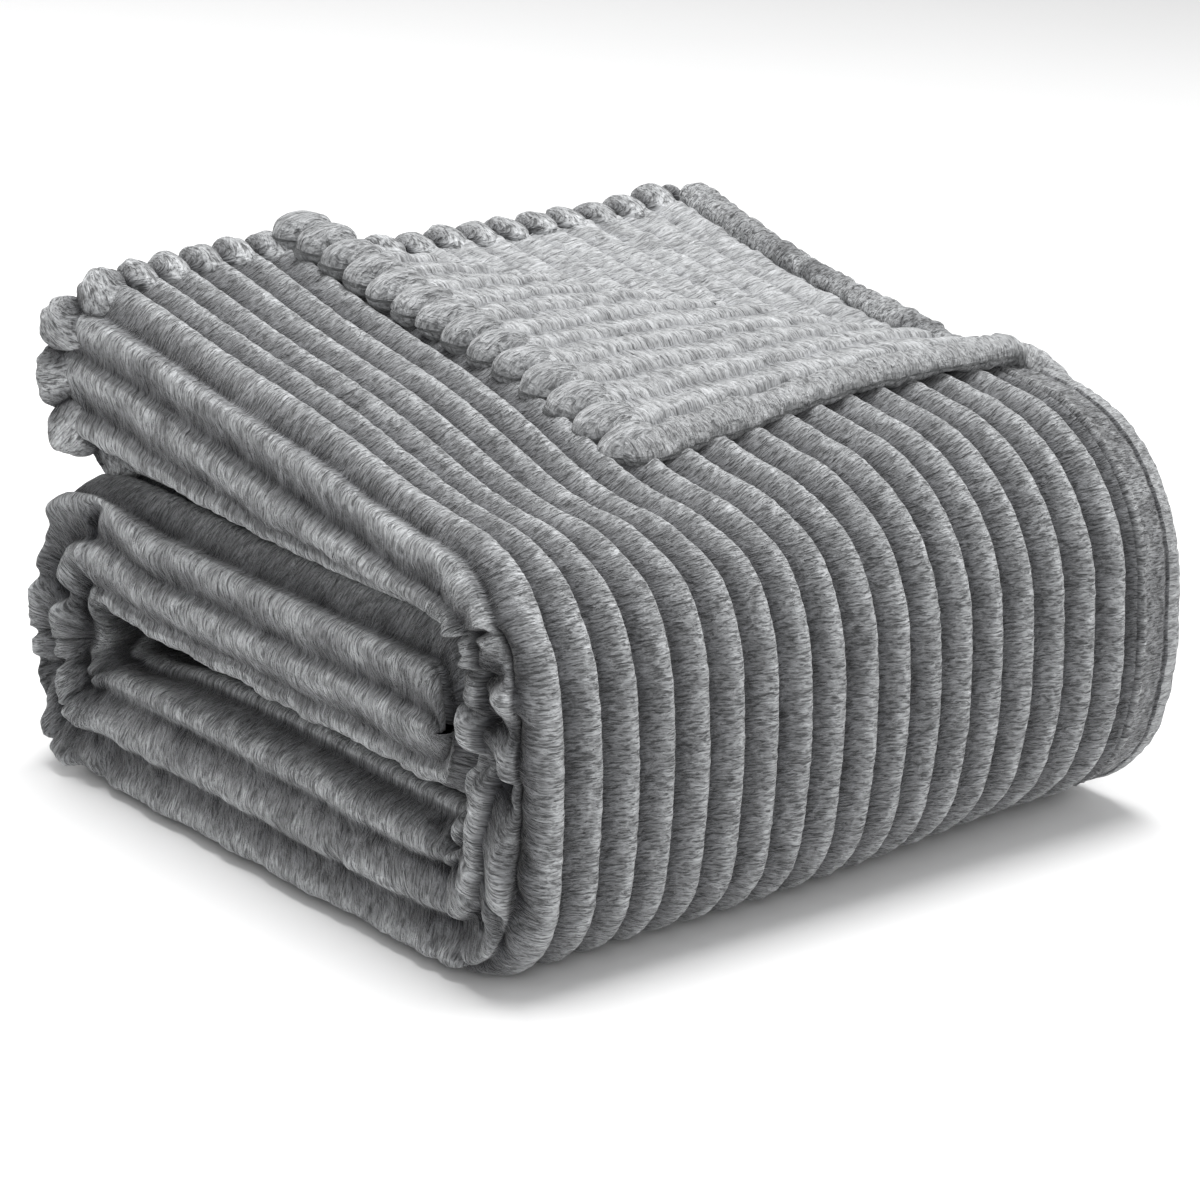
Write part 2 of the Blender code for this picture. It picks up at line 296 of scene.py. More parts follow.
def section(around, thick, low_x, shares):
    """Where a place round the section lies: (x, depth below the outer skin, place across the cloth).

    The outer skin runs towards -X, turns a rounded corner, goes down, turns another and comes back as the
    inner skin. Past FOLD_END the place is a share: 1 of the inner skin, 1 of the wide rolled fold and 1 of
    the second layer's rolled edge. Below 0 is the first rolled edge. The cloth is stretched on the fold,
    so the ribs lie wider apart there.
    """
    around, thick = np.broadcast_arrays(around, thick)
    upper, lower = shares[0] * thick, shares[1] * thick
    start = HALF_WIDTH - ROLL - (low_x + upper)
    turned = np.clip((around - start) / upper, 0, np.pi / 2)
    side = np.clip(around - start - upper * np.pi / 2, 0, thick - upper - lower)
    passed = around - start - upper * np.pi / 2 - (thick - upper - lower)
    under = np.clip(passed / lower, 0, np.pi / 2)
    inner = np.maximum(passed - lower * np.pi / 2, 0)
    x = HALF_WIDTH - ROLL - np.minimum(around, start) - upper * np.sin(turned)
    x = x + lower * (1 - np.cos(under)) + np.minimum(inner, np.maximum(FOLD_END - start, 0))
    depth = upper * (1 - np.cos(turned)) + side + lower * np.sin(under)
    across = HALF_WIDTH - ROLL - np.minimum(around, FOLD_END)
    across = across + STRETCH * np.clip(around - FLAT_END, 0, FOLD_END - FLAT_END)
    share = around - FOLD_END
    wide = thick / 2 - 2 * ROLL
    is_inner = (share > 0) & (share <= 1)
    inner_end = HALF_WIDTH - wide
    at_fold_end = low_x + lower + (FOLD_END - start - (upper + lower) * np.pi / 2 - (thick - upper - lower))
    x = np.where(is_inner, at_fold_end + (inner_end - at_fold_end) * share, x)
    depth = np.where(share > 0, thick, depth)
    across = across - np.where(share > 0, np.minimum(share, 1) * INNER_CLOTH, 0)
    angle = np.pi / 2 - np.pi * np.clip(share - 1, 0, 1)
    is_wide = (share > 1) & (share <= 2)
    x = np.where(is_wide, inner_end + wide * np.cos(angle), x)
    depth = np.where(is_wide, thick - wide + wide * np.sin(angle), depth)
    across = across - np.where(share > 1, np.clip(share - 1, 0, 1) * WIDE_CLOTH, 0)
    angle = np.pi / 2 - np.pi * np.clip(share - 2, 0, 1)
    is_second = share > 2
    x = np.where(is_second, HALF_WIDTH - ROLL + ROLL * np.cos(angle), x)
    depth = np.where(is_second, 3 * ROLL + ROLL * np.sin(angle), depth)
    across = across - np.where(is_second, (share - 2) * np.pi * ROLL, 0)
    angle = -np.pi / 2 - around / ROLL
    first = around < 0
    x = np.where(first, HALF_WIDTH - ROLL + ROLL * np.cos(angle), x)
    depth = np.where(first, ROLL + ROLL * np.sin(angle), depth)
    return x, depth, across


def end_bulge(along, depth, thick):
    """How far the lower layers stand behind the top lay's end: 22 mm times the sine of their share of the depth."""
    near = ease((along - (STRIP_END - 0.060)) / 0.060)
    return 0.022 * near * np.sin(np.pi * np.clip(depth / thick, 0, 1)) ** 0.9


def strip_points(along, around, low_x=-HALF_WIDTH, drop=0.0, lift=0.0):
    """Points of the undisturbed cloth: the outer skin's point plus the depth towards the inner skin."""
    outer_y, outer_z, inner_y, inner_z = skins(along)
    way_y, way_z = inner_y - outer_y, inner_z - outer_z
    thick = np.hypot(way_y, way_z)
    way_y, way_z = way_y / thick, way_z / thick
    thick = thick - drop - lift
    x, depth, across = section(around, thick, low_x, corner_shares(along))
    back = end_bulge(along, depth + drop, thick + drop + lift)
    y = outer_y + way_y * (depth + drop) + back
    z = outer_z + way_z * (depth + drop)
    return np.stack([x, y + 0 * x, z + 0 * x], -1), across + 0 * x, depth / thick


def normals_of(place, along, around):
    """Outward unit vectors: the cross product of the slopes along the strip and round the section."""
    tiny = 2e-4
    step_s = place(along + tiny, around) - place(along - tiny, around)
    step_q = place(along, around + tiny) - place(along, around - tiny)
    normal = np.cross(step_s, step_q)
    return normal / np.maximum(np.linalg.norm(normal, axis=-1, keepdims=True), 1e-12)


# ---------------------------------------------------------------- ribs, creases and pile


def face_relief(along, across, around, share):
    """(height over the skin, crest from 0 to 1) of the ribbed face; the crest is the painted shade and highlight.

    Height = rib depth x (rib - 1) x slow change + slow puckers + creases on the fold + pile tufts.
    """
    drift = with_waves(0, along, across, (0.035, 0.080, 0.050, 11), (0.012, 0.021, 0.0155, 12))
    phase = rib_phase(across) + drift
    crest = rib(phase)
    on_fold = ease(np.sin(np.pi * np.clip(share, 0, 1)) * 2.2) * (around < FOLD_END + 1)
    upright = ease((along - RUNS["foot"] + 0.02) / 0.03) * ease((RUNS["top"] - 0.02 - along) / 0.04)
    turn = ease((along - RUNS["back"] + 0.02) / 0.03) * ease((RUNS["bottom"] + 0.02 - along) / 0.03)
    bunched = on_fold * np.maximum(upright, turn)
    swell = 1 + 0.10 * waves(along, across, 0.030, 0.0155, 13) + 0.25 * bunched
    height = with_waves(-sizes().rib_depth * (1 - crest) * swell, along, across, (0.0012, 0.07, 0.08, 14))
    crease = np.abs(waves(along, across, 0.013, 0.034, 15))
    height = height - bunched * 0.0075 * (1 - ease(crease * 2.4))
    height = with_waves(height, along, across, (bunched * 0.0045, 0.024, 0.020, 16), (0.00026, 0.0026, 0.0055, 17),
                        (0.00022, 0.0016, 0.0028, 18))
    crushed = with_waves(0, along, across, (1, 0.012, 0.008, 19), (0.7, 0.005, 0.004, 20))
    # Painted shade on each rib's long side and a painted highlight by its crest, with random crushed patches.
    light = painted_rib_shading(phase) + (0.05 + 0.17 * on_fold) * crushed
    groove = hump(np.mod(phase + 0.5, 1.0), 0.5, 0.055) * on_fold * (1 - bunched)
    light = light * (1 - groove) + 0.72 * groove
    height = height + on_fold * (0.0013 * waves(along, across, 0.011, 0.008, 24) + 0.0012 * groove)
    height = height + on_fold * 0.0007 * waves(along, across, 0.0048, 0.0042, 25)
    # Painted shade: the pile is darker down in the creases of the bunched cloth.
    return height, np.clip(light - 0.5 * bunched * (1 - ease(crease * 2.6)), 0, 1)


def hem_relief(along, around):
    """(height, crest) of the plain band: up out of the last groove past a row of tufts, flat, a stitch groove.

    Height = band level + row of tufts - stitch groove + slow and fine waves.
    """
    rise = ease((HEM_BAND - around) / 0.0030)
    stitch = hump(around, 0.0042, 0.0010)
    row = hump(around, HEM_BAND - 0.0035, 0.0012) * (0.5 + 0.5 * np.sin(along * 2 * np.pi / 0.0041))
    depth = sizes().rib_depth
    height = -depth * (1 - rise) - rise * depth * 0.40 - 0.0011 * stitch + 0.0010 * row
    height = with_waves(height, along, around, (0.0006, 0.016, 0.009, 21), (0.00035, 0.0026, 0.0030, 22))
    # Painted shade down in the last groove and along the stitch groove; the row of tufts and the rolled edge are
    # lighter.
    light = rise * (0.62 + 0.38 * row + 0.20 * waves(along, around, 0.004, 0.003, 23)) + 0.3 * (around < 0.003)
    return height, np.clip(light - 0.50 * stitch, 0, 1)


def settle(points):
    """How the soft block has settled, as a smooth move of every point.

    The near shoulder sinks under the turned corner, the back of the top stands a little proud, the front
    and the back turn bulge at half height, the foot is rounder towards the right, the back right corner
    stands up, and the fold bulges sideways between the seams of the lays.
    """
    x, y, z = points[:, 0], points[:, 1], points[:, 2]
    high = ease((z - TOP_BASE - 0.004) / 0.030)
    sink = -0.015 * hump(x, -0.055, 0.085) * hump(y, -0.095, 0.060) * high
    proud = 0.0035 * ease(y / 0.12) * high
    front = -0.0050 * hump(z, 0.080, 0.055) * ease((-0.10 - y) / 0.05)
    back = 0.0030 * hump(z, 0.060, 0.055) * ease((y - 0.10) / 0.05)
    side = 0.0020 * (1 - 0.8 * hump(z, INNER_TOP, 0.010)) * (1 - high)
    left = (0.0045 * high - side * (1 + 0.9 * ease((y - 0.10) / 0.05))) * ease((-x - 0.10) / 0.06)
    right = 0.0020 * ease((x - 0.14) / 0.02) * hump(z, 0.085, 0.070)
    under = 0.004 + 0.018 * ease((x + 0.05) / 0.19)
    foot = under * np.clip(1 - z / 0.070, 0, 1) ** 2 * ease((-0.085 - y) / 0.05)
    swell = 0.0035 * hump(x, -0.065, 0.045) * hump(y, 0.125, 0.05) * high
    poke = 0.006 * hump(x, 0.16, 0.030) * hump(y, 0.135, 0.035) * high
    return points + np.stack([left + right, front + back + foot, sink + proud + poke + swell + np.maximum(-z, 0)], 1)


# ---------------------------------------------------------------- meshes


FLAT = {}  # each grid's (width, length, mean width) in metres, laid flat


def flat_size(points):
    """(widest row, last column, mean row) of a grid laid flat, in metres.

    Each is a sum of straight distances about one rib long, so the ribs' height mostly doesn't count.
    """
    rows, columns = points.shape[:2]
    pick = lambda count: np.unique(np.append(np.arange(0, count, max(1, min(14, count // 8))), count - 1))
    across = np.linalg.norm(np.diff(points[:, pick(columns)], axis=1), axis=-1).sum(1)
    along = np.linalg.norm(np.diff(points[pick(rows), -1], axis=0), axis=-1).sum()
    return float(across.max()), float(along), float(across.mean())


def new_mesh(name, points, faces, uv, crest, material):
    """An object from whole arrays: points, faces of one number of corners, metres of cloth as its UV map, crest as the
    painted shade and highlight the finishes read.
    """
    mesh = bpy.data.meshes.new(name)
    mesh.vertices.add(len(points))
    mesh.vertices.foreach_set("co", points.astype(np.float32).ravel())
    mesh.loops.add(faces.size)
    mesh.loops.foreach_set("vertex_index", faces.ravel().astype(np.int32))
    mesh.polygons.add(len(faces))
    mesh.polygons.foreach_set("loop_start", np.arange(0, faces.size, faces.shape[1], dtype=np.int32))
    mesh.update(calc_edges=True)
    layer = mesh.uv_layers.new(name="Cloth")
    layer.data.foreach_set("uv", uv[faces.ravel()].astype(np.float32).ravel())
    height = mesh.attributes.new("crest", "FLOAT", "POINT")
    height.data.foreach_set("value", crest.astype(np.float32))
    mesh.polygons.foreach_set("use_smooth", np.ones(len(faces), dtype=bool))
    mesh.validate()
    mesh.materials.append(material)
    obj = bpy.data.objects.new(name, mesh)
    bpy.context.scene.collection.objects.link(obj)
    return obj


def grid_piece(name, points, across, along, crest, material, ring=False, flip=False, keep=None):
    """A grid of points (rows, columns, 3) as a mesh: each cell is a face, and ring joins last column to first."""
    rows, columns = points.shape[:2]
    FLAT[name] = flat_size(points)
    index = np.arange(rows * columns).reshape(rows, columns)
    if ring:
        index = np.concatenate([index, index[:, :1]], 1)
    faces = np.stack([index[:-1, :-1], index[1:, :-1], index[1:, 1:], index[:-1, 1:]], -1)
    if keep is not None:
        faces = faces[keep]
    faces = faces.reshape(-1, 4)
    if flip:
        faces = faces[:, ::-1]
    uv = np.stack([across, along], -1).reshape(-1, 2)
    used, faces = np.unique(faces, return_inverse=True)
    faces = faces.reshape(-1, 4)
    flat = settle(points.reshape(-1, 3))
    return new_mesh(name, flat[used], faces, uv[used], crest.reshape(-1)[used], material)


def cloth_grid(along, around, relief):
    """(points, across, along, crest) of a stretch of the strip with its relief laid on.

    Around is one row of places, or a row for each place along.
    """
    s, q = along[:, None], np.atleast_2d(around)
    place = lambda a, b: strip_points(a, b)[0]
    points, across, share = strip_points(s, q)
    height, crest = relief(s + 0 * q, across, q + 0 * s, share)
    points = points + normals_of(place, s, q) * height[..., None]
    return points, across, s + 0 * q, crest


def past_fold(inner):
    """Columns past FOLD_END: inner of them on the inner skin, then the wide fold's and the second rolled edge's."""
    return FOLD_END + np.concatenate([steps(0, 1, 1 / inner), 1 + steps(0, 1, 1 / WIDE_COLUMNS)[1:],
                                      2 + steps(0, 1, 1 / EDGE_COLUMNS)[1:]])


def round_the_section():
    """Columns from the plain band round to the end of the second rolled edge."""
    return np.concatenate([steps(HEM_BAND, FOLD_END, FINE), past_fold(INNER_COLUMNS)[1:]])


def add_band(name, start, stop, body, nodes=()):
    """The plain band beside the side edge, and the light rolled rim outside it."""
    relief = lambda s, across, q, share: hem_relief(s, q)
    strips = (("_band", RIM_END, HEM_BAND, "HemPile", nodes), ("_rim", -np.pi * ROLL, RIM_END, "ReverseHemPile", ()))
    for ending, inner, outer, pile, solids in strips:
        grid = cloth_grid(steps(start, stop, ALONG), steps(inner, outer, EDGE_STEP), relief)
        dressed(grid_piece(name + ending, *grid, finish(pile)), body, solids)


def lower_columns(skin):
    """Columns for a lay whose flat skins are hidden: coarse on the flats, fine on the fold and the edges."""
    rolled = -np.pi * ROLL * (1 - steps(0, 1, 1 / 14))[:-1]
    return np.concatenate([rolled, steps(0, FLAT_STOP, skin), steps(FLAT_STOP, FOLD_END, FINE)[1:],
                           past_fold(HIDDEN_COLUMNS)[1:-1]])


def lower_relief(along, across, around, share):
    """Ribs everywhere but on the rolled edges, which are plain."""
    height, crest = face_relief(along, across, around, share)
    plain = np.maximum(ease((HEM_BAND - around) / 0.004), ease((around - FOLD_END - 2) / 0.1))
    band, _ = hem_relief(along, np.minimum(around, HEM_BAND))
    band = np.where(around > FOLD_END, 0.0, band)
    return height * (1 - plain) + band * plain, crest * (1 - plain) + 0.8 * plain


def capped(points, across, along, crest, reach):
    """The grid with a rounded front end: seven more rows that draw in to the middle level of the lay.

    A row at angle t has z = middle + (edge - middle) cos t and stands reach x sin t further out, rib end by rib end.
    """
    edge = points[0]
    middle = (edge[:, 2].min() + edge[:, 2].max()) / 2
    angle = np.radians(np.array([90, 78, 64, 50, 36, 22, 10]))[:, None]
    out = reach * (0.35 + 0.65 * puff(rib_phase(edge[:, 0]))) * np.sin(angle)
    rows = np.stack([edge[:, 0] + 0 * out, edge[:, 1] - out, middle + (edge[:, 2] - middle) * np.cos(angle)], -1)
    line = along[0] - angle * 0.02
    # Painted shade: the crest value darkens as the end turns down and in.
    shade = crest[0] * (0.35 + 0.65 * np.cos(angle))
    return (np.concatenate([rows, points]), np.concatenate([across[0] + 0 * line, across]),
            np.concatenate([line, along]), np.concatenate([shade, crest]))


def merged(obj):
    """Joins points that lie on each other, as at a pole, and takes out faces with no area."""
    bm = bmesh.new()
    bm.from_mesh(obj.data)
    bmesh.ops.remove_doubles(bm, verts=bm.verts, dist=1e-6)
    bmesh.ops.dissolve_degenerate(bm, edges=bm.edges, dist=1e-7)
    bm.to_mesh(obj.data)
    bm.free()
    return obj


# ---------------------------------------------------------------- the top lay's own frame

UP_SLOPE = np.array([0.0, math.cos(TOP_SLOPE), math.sin(TOP_SLOPE)])
TOP_NORMAL = np.array([0.0, -math.sin(TOP_SLOPE), math.cos(TOP_SLOPE)])
ALONG_X = np.array([1.0, 0.0, 0.0])
CORNER_POINT = np.array([CORNER_X, TOP_END_Y, TOP_END_Z])
FOLD_OUT = (ALONG_X + UP_SLOPE) / math.sqrt(2)


def on_top(right, down, level):
    """A point of the top lay: from the corner point, right along +X, down the slope, level above it."""
    right, down, level = (np.asarray(v)[..., None] for v in (right, down, level))
    return CORNER_POINT + right * ALONG_X - down * UP_SLOPE + level * TOP_NORMAL


def tuft_relief(along, across, depth, seed):
    """(height, crest) of the reverse: softer ribs under long pile that stands in tufts."""
    drift = with_waves(0, along, across, (0.07, 0.045, 0.02, seed), (0.04, 0.014, 0.012, seed + 1))
    crest = rib(rib_phase(across) + drift) ** 0.8
    height = -depth * (1 - crest) * (1 + 0.2 * waves(along, across, 0.02, 0.0155, seed + 2))
    height = with_waves(height, along, across, (0.0008, 0.008, 0.010, seed + 3), (0.0007, 0.0040, 0.0068, seed + 4),
                        (0.0004, 0.0020, 0.0036, seed + 5))
    return height, crest


# ---------------------------------------------------------------- finishes


def node(tree, kind, **inputs):
    """A new node with named properties and, where the key is a socket's name, its value."""
    made = tree.nodes.new(kind)
    for key, value in inputs.items():
        if key in made.inputs:
            made.inputs[key].default_value = value
        else:
            setattr(made, key, value)
    return made


def noise_field(tree, coordinates, scale, detail, roughness, distortion):
    """Noise on the cloth's own metres, with one scale across the ribs and one along them."""
    spread = node(tree, "ShaderNodeMapping")
    spread.inputs["Scale"].default_value = (scale[0], scale[1], 1.0)
    tree.links.new(coordinates, spread.inputs["Vector"])
    field = node(tree, "ShaderNodeTexNoise", Scale=1.0, Detail=detail, Roughness=roughness, Distortion=distortion)
    field.noise_dimensions = "2D"
    tree.links.new(spread.outputs["Vector"], field.inputs["Vector"])
    return field.outputs["Fac"]


def ramp(tree, factor, stops):
    """A colour ramp through (place, colour) stops."""
    made = node(tree, "ShaderNodeValToRGB")
    elements = made.color_ramp.elements
    while len(elements) < len(stops):
        elements.new(0.5)
    for element, (place, colour) in zip(elements, stops):
        element.position = place
        element.color = (*colour, 1.0)
    tree.links.new(factor, made.inputs["Fac"])
    return made.outputs["Color"]


def sum_of(tree, terms):
    """A weighted sum of fields: each term is (field, weight)."""
    total = None
    for field, weight in terms:
        scaled = node(tree, "ShaderNodeMath", operation="MULTIPLY")
        scaled.inputs[1].default_value = weight
        tree.links.new(field, scaled.inputs[0])
        if total is None:
            total = scaled.outputs[0]
            continue
        added = node(tree, "ShaderNodeMath", operation="ADD")
        tree.links.new(total, added.inputs[0])
        tree.links.new(scaled.outputs[0], added.inputs[1])
        total = added.outputs[0]
    return total


def tinted(tree, kind, factor, first, second):
    """Two colours combined: kind is a mix node's blend type."""
    mix = node(tree, "ShaderNodeMix", data_type="RGBA", blend_type=kind)
    mix.inputs[0].default_value = factor
    tree.links.new(first, mix.inputs[6])
    tree.links.new(second, mix.inputs[7])
    return mix.outputs[2]


def bumped(tree, fields):
    """Bump nodes one after another: each field is (factor, height of its relief in metres, strength)."""
    normal = None
    for field, distance, strength in fields:
        bump = node(tree, "ShaderNodeBump", Strength=strength, Distance=distance)
        tree.links.new(field, bump.inputs["Height"])
        if normal is not None:
            tree.links.new(normal, bump.inputs["Normal"])
        normal = bump.outputs["Normal"]
    return normal


def new_material(name):
    """(material, its node tree, its surface shader)."""
    material = bpy.data.materials.new(name)
    material.use_nodes = True
    return material, material.node_tree, material.node_tree.nodes["Principled BSDF"]


def pile_finish(name, colour, strand, tuft, grooves, contrast):
    """Cut pile: strands of strand (length, width) in tufts of tuft size, with painted shade in the grooves and a
    painted highlight on the crests.

    Colour = colour x ramp of (strands + tufts) x painted shade and highlight by crest x crushed patches.
    """
    _, tree, shader = new_material(name)
    cloth = node(tree, "ShaderNodeUVMap", uv_map="Cloth").outputs["UV"]
    strands = noise_field(tree, cloth, (1 / strand[0], 1 / strand[1]), 2.0, 0.60, 0.35)
    tufts = noise_field(tree, cloth, (1 / tuft[0], 1 / tuft[1]), 3.0, 0.60, 0.9)
    crushed = noise_field(tree, cloth, (110.0, 75.0), 3.0, 0.60, 0.8)
    crest = node(tree, "ShaderNodeAttribute", attribute_name="crest").outputs["Fac"]
    mixed = sum_of(tree, [(strands, 0.60), (tufts, 0.40)])
    shares = (1 - contrast, 1 - 0.22 * contrast, 1 + 0.12 * contrast, 1 + 0.62 * contrast)
    stops = [(place, tuple(c * share for c in colour)) for place, share in zip((0.39, 0.475, 0.53, 0.62), shares)]
    # Painted shade in the grooves and a painted highlight on the crests, read from the crest attribute.
    body = tinted(tree, "MULTIPLY", 1.0, ramp(tree, mixed, stops), ramp(tree, crest, grooves))
    spread = 0.32 * contrast
    cloudy = ramp(tree, crushed, [(0.38, (1 - spread,) * 3), (0.62, (1 + spread * 0.6,) * 3)])
    body = tinted(tree, "MULTIPLY", 1.0, body, cloudy)
    tree.links.new(body, shader.inputs["Base Color"])
    relief = [(strands, 0.0012 * contrast + 0.0004, 1.0), (tufts, 0.0022, 0.85), (crushed, 0.0035, 0.5)]
    tree.links.new(bumped(tree, relief), shader.inputs["Normal"])
    values = (("Roughness", 0.92), ("Specular IOR Level", 0.18), ("Sheen Weight", 0.25), ("Sheen Roughness", 0.45))
    for socket, value in values:
        shader.inputs[socket].default_value = value


def finish(name):
    return bpy.data.materials[name]


# ---------------------------------------------------------------- sizes and colours


def length(name, description, default, low, high):
    return FloatProperty(name=name, description=description, default=default, unit="LENGTH", min=low, max=high)


def colour(name, description, default):
    return FloatVectorProperty(name=name, description=description, default=default, subtype="COLOR", min=0, max=1)


class ThrowSizes(PropertyGroup):
    rib_pitch: length("Rib pitch", "From one groove to the next", 0.0155, 0.008, 0.030)
    rib_depth: length("Rib depth", "From crest to groove on the face", 0.0046, 0.001, 0.008)
    reverse_depth: length("Reverse rib depth", "From crest to groove on the reverse", 0.0023, 0.001, 0.008)
    corner_thickness: length("Corner thickness", "Thickness of the turned corner", 0.0088, 0.004, 0.015)


class ThrowColours(PropertyGroup):
    face: colour("Face", "Pile colour of the face", (0.224, 0.229, 0.236))
    reverse: colour("Reverse", "Pile colour of the reverse", (0.372, 0.379, 0.387))
    hem: colour("Hem", "Pile colour of the stitched bands", (0.250, 0.255, 0.262))
    floor: colour("Floor", "Colour of the floor", (0.93, 0.93, 0.93))


# ---------------------------------------------------------------- operators


class THROW_OT_finishes(Operator):
    """Makes the pile finishes of the face, the reverse and the hems"""

    bl_idname = "throw.finishes"
    bl_label = "Finishes"

    def execute(self, context):
        colours = context.scene.throw_colours
        # The crest ramps paint light: deep paints shade in the grooves and a highlight on the crests, soft a milder
        # shade in the reverse's grooves, ends shade between the rounded rib ends.
        deep = [(0.0, (0.12, 0.12, 0.13)), (0.30, (0.48, 0.48, 0.49)), (0.70, (0.95, 0.95, 0.95)),
                (0.98, (1.65, 1.65, 1.64))]
        soft = [(0.0, (0.72, 0.72, 0.73)), (0.45, (0.93, 0.93, 0.93)), (0.95, (1.05, 1.05, 1.05))]
        ends = [(0.0, (0.34, 0.34, 0.35)), (0.40, (0.86, 0.86, 0.86)), (0.95, (1.04, 1.04, 1.04))]
        reverse_hem = tuple(c * 0.94 for c in colours.reverse)
        pile_finish("FacePile", tuple(colours.face), (0.0038, 0.0008), (0.0052, 0.0019), deep, 0.62)
        pile_finish("ReversePile", tuple(colours.reverse), (0.0056, 0.0009), (0.0090, 0.0034), soft, 0.44)
        pile_finish("HemPile", tuple(colours.hem), (0.0030, 0.0007), (0.0046, 0.0022), deep, 0.66)
        pile_finish("ReverseHemPile", reverse_hem, (0.0044, 0.0008), (0.0060, 0.0022), ends, 0.46)
        return {"FINISHED"}


def add_ribbed(name, start, stop, body, nodes=()):
    """A stretch of the strip from the plain band round to the second rolled edge."""
    grid = cloth_grid(steps(start, stop, ALONG), round_the_section(), face_relief)
    dressed(grid_piece(name, *grid, finish("FacePile")), body, nodes)


def dressed(obj, body, nodes=()):
    """Hangs the piece on its body's empty when the body is one name, else bakes its place into the mesh, and hides the
    solids it stands for.
    """
    if isinstance(body, str):
        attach(obj, body)
    else:
        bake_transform(obj)
    if nodes:
        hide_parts(*nodes)


DIAGONAL = 1 / math.sqrt(2)
FOOT_BEND = ("lower_lays", "front_turn",
             (0, -0.1100 * DIAGONAL, 0.1100 * DIAGONAL), (0, -0.1410 * DIAGONAL, 0.1410 * DIAGONAL))
SHOULDER_BEND = ("front_turn", "top_lay",
                 (0, -0.0116 * DIAGONAL, -0.0116 * DIAGONAL), (0, 0.0300 * DIAGONAL, 0.0300 * DIAGONAL))


class THROW_OT_lower_lays(Operator):
    """Makes the inner run, the back turn and the bottom run of the strip"""

    bl_idname = "throw.lower_lays"
    bl_label = "Lower lays"

    def execute(self, context):
        self.make("inner_run", RUNS["inner"], RUNS["back"], 0.0030, ("inner_lay",), True)
        self.make("back_turn_cloth", RUNS["back"], RUNS["bottom"], 0.0012, ("back_turn",), False)
        self.make("bottom_run", RUNS["bottom"], FOOT_START, 0.0030, ("bottom_lay",), False)
        return {"FINISHED"}

    def make(self, name, start, stop, skin, nodes, cap):
        along = steps(start, stop, ALONG)
        grid = cloth_grid(along, lower_columns(skin), lower_relief)
        if cap:
            points, across, line, crest = grid
            ragged = 0.006 + 0.005 * waves(across, 0 * across, 0.012, 1.0, 71)
            points[..., 1] += ragged * (1 - ease((line - start) / 0.035))
            grid = capped(points, across, line, crest, 0.012)
        obj = grid_piece(name, *grid, finish("FacePile"), ring=True)
        if cap:
            FLAT[name] = flat_size(points)
        dressed(obj, "lower_lays", nodes)


FRONT_STRETCHES = (  # name, start, stop, stop of its side band, body, nodes of the cloth, nodes of the band
    ("foot", FOOT_START, FOOT_STOP, FOOT_STOP, FOOT_BEND, (), ()),
    ("front", FOOT_STOP, SHOULDER_START, SHOULDER_START, "front_turn", ("front_turn",), ("front_side_hem",)),
    ("shoulder", SHOULDER_START, SHOULDER_STOP, STRIP_END - CORNER_LEG, SHOULDER_BEND, (), ()),
)


class THROW_OT_front(Operator):
    """Makes the cloth and the side band of the front: the foot, the wall and the shoulder on to the top"""

    bl_idname = "throw.front"
    bl_label = "Front"

    def execute(self, context):
        for name, start, stop, band_stop, body, nodes, band_nodes in FRONT_STRETCHES:
            add_ribbed(name + "_cloth", start, stop, body, nodes)
            add_band(name, start, band_stop, body, band_nodes)
        return {"FINISHED"}


class THROW_OT_top_face(Operator):
    """Makes the face layer of the top, up to the fold line, with the fold and the layers under it"""

    bl_idname = "throw.top_face"
    bl_label = "Top face"

    def execute(self, context):
        along = steps(SHOULDER_STOP, STRIP_END, ALONG)
        around = steps(HEM_BAND, FOLD_END, FINE)
        fold_x = CORNER_X + (STRIP_END - along) - 0.001
        first = (HALF_WIDTH - ROLL - fold_x)[:, None]
        beyond = around < first
        keep = ~(beyond[:-1, 1:] & beyond[1:, 1:])
        grid = cloth_grid(along, np.maximum(around, first), face_relief)
        obj = grid_piece("top_face_cloth", *grid, finish("FacePile"), keep=keep)
        dressed(merged(obj), "top_lay", ("top_face_layer",))
        return {"FINISHED"}


class THROW_OT_top_under(Operator):
    """Makes the underside of the top and its folded edge at the right"""

    bl_idname = "throw.top_under"
    bl_label = "Top underside"

    def execute(self, context):
        columns = past_fold(INNER_COLUMNS)[:-EDGE_COLUMNS]
        grid = cloth_grid(steps(SHOULDER_STOP, STRIP_END, ALONG), columns, face_relief)
        obj = grid_piece("top_under_cloth", *grid, finish("FacePile"))
        dressed(obj, "top_lay", ("top_lower_layers",))
        return {"FINISHED"}


def repeated(vector, path):
    """The vector once for each point of the path."""
    return np.repeat(vector[None], len(path), 0)


def from_middle(across):
    """Distance of a place across the cloth from the middle of its rib end."""
    return (np.mod(rib_phase(across), 1.0) - 0.5) * sizes().rib_pitch


